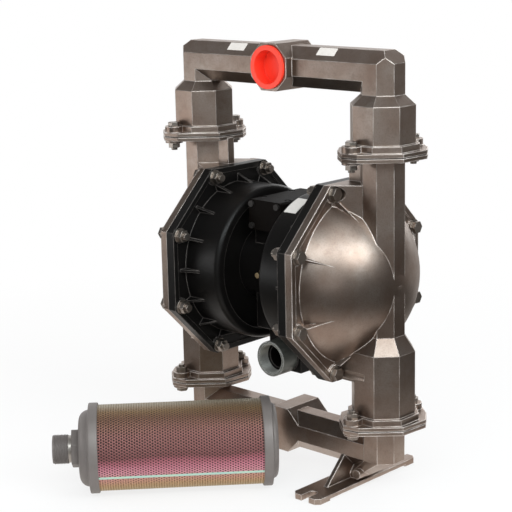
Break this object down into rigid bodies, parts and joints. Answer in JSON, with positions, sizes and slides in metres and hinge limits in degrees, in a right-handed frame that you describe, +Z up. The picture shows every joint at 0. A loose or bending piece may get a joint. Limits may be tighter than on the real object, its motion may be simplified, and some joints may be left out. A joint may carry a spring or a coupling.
{
  "type": "air operated diaphragm pump",
  "caption": "Double diaphragm pump driven by compressed air: octagonal stainless chambers, ball checks, clamped manifolds with feet, and a loose exhaust silencer.",
  "frame": {"origin": "on the floor, midway between the four foot slots", "axes": "+X along the diaphragm rod to the right, -Y towards the discharge port's side, +Z up"},
  "size_m": [0.504, 0.5225, 0.6964],
  "materials": {
    "bare_plate": "satin",
    "black_coat": "gloss black coating",
    "black_plastic": "satin",
    "brass": "machined",
    "bronze": "plain bearing",
    "cast_stainless": "satin investment casting",
    "dark_gasket": "matte",
    "galvanised": "grey galvanised",
    "passivated": "yellow passivated, perforated",
    "red_plastic": "soft moulded",
    "rod_steel": "ground",
    "silencer_grey": "satin",
    "stainless_fastener": "bright",
    "white_elastomer": "matte"
  },
  "bodies": {
    "housing": {"air_cap_left": "black_coat", "air_cap_right": "black_coat", "air_cap_screws_left": "stainless_fastener", "air_cap_screws_right": "stainless_fastener", "air_valve_body": "black_coat", "air_valve_cover_front": "black_plastic", "air_valve_cover_rear": "black_plastic", "air_valve_cover_screws": "stainless_fastener", "air_valve_gasket": "dark_gasket", "air_valve_screws": "stainless_fastener", "brass_fitting": "brass", "centre_body": "black_coat", "chamber_bolts_left": "stainless_fastener", "chamber_bolts_right": "stainless_fastener", "chamber_nuts_left": "stainless_fastener", "chamber_nuts_right": "stainless_fastener", "chamber_washers_left": "stainless_fastener", "chamber_washers_right": "stainless_fastener", "diaphragm_left": "white_elastomer", "diaphragm_right": "white_elastomer", "discharge_manifold": "cast_stainless", "discharge_seat_left": "cast_stainless", "discharge_seat_right": "cast_stainless", "exhaust_socket": "galvanised", "fluid_cap_left": "cast_stainless", "fluid_cap_right": "cast_stainless", "lower_flange_bolts": "stainless_fastener", "lower_flange_gaskets": "dark_gasket", "lower_flange_nuts": "stainless_fastener", "name_plate": "bare_plate", "rod_bushing_left": "bronze", "rod_bushing_right": "bronze", "suction_manifold": "cast_stainless", "suction_seat_left": "cast_stainless", "suction_seat_right": "cast_stainless", "upper_flange_bolts": "stainless_fastener", "upper_flange_gaskets": "dark_gasket", "upper_flange_nuts": "stainless_fastener"},
    "rod": {"diaphragm_rod": "rod_steel", "inner_plate_left": "bare_plate", "inner_plate_right": "bare_plate", "outer_plate_left": "cast_stainless", "outer_plate_right": "cast_stainless"},
    "pilot": {"pilot_pin": "rod_steel"},
    "spool": {"air_valve_spool": "bare_plate"},
    "port_plug": {"discharge_plug": "red_plastic"},
    "silencer": {"silencer_core": "bronze", "silencer_end": "silencer_grey", "silencer_inlet": "silencer_grey", "silencer_shell": "passivated"},
    "discharge_check_ball_left": {"discharge_ball_left": "white_elastomer"},
    "discharge_check_ball_right": {"discharge_ball_right": "white_elastomer"},
    "suction_check_ball_left": {"suction_ball_left": "white_elastomer"},
    "suction_check_ball_right": {"suction_ball_right": "white_elastomer"}
  },
  "joints": [
    {"name": "rod_slide", "type": "slide", "parent": "housing", "child": "rod", "axis": [1, 0, 0], "range_m": [-0.017, 0.017], "deforming": ["diaphragm_left", "diaphragm_right"]},
    {"name": "pilot_slide", "type": "slide", "parent": "housing", "child": "pilot", "axis": [1, 0, 0], "range_m": [-0.005, 0.005]},
    {"name": "spool_slide", "type": "slide", "parent": "housing", "child": "spool", "axis": [0, 1, 0], "range_m": [-0.008, 0.008]},
    {"name": "plug_pull", "type": "slide", "parent": "housing", "child": "port_plug", "axis": [0, -1, 0], "range_m": [0, 0.08]},
    {"name": "silencer_lift", "type": "slide", "parent": "housing", "child": "silencer", "axis": [-0.4795, -0.5197, 0.7071], "range_m": [0, 0.25]},
    {"name": "discharge_ball_lift_left", "type": "slide", "parent": "housing", "child": "discharge_check_ball_left", "axis": [0, 0, 1], "range_m": [0, 0.016]},
    {"name": "discharge_ball_lift_right", "type": "slide", "parent": "housing", "child": "discharge_check_ball_right", "axis": [0, 0, 1], "range_m": [0, 0.016]},
    {"name": "suction_ball_lift_left", "type": "slide", "parent": "housing", "child": "suction_check_ball_left", "axis": [0, 0, 1], "range_m": [0, 0.016]},
    {"name": "suction_ball_lift_right", "type": "slide", "parent": "housing", "child": "suction_check_ball_right", "axis": [0, 0, 1], "range_m": [0, 0.016]}
  ],
  "couplings": [
    {"joint": "pilot_slide", "follows": "rod_slide", "ratio": 0.29412}
  ]
}
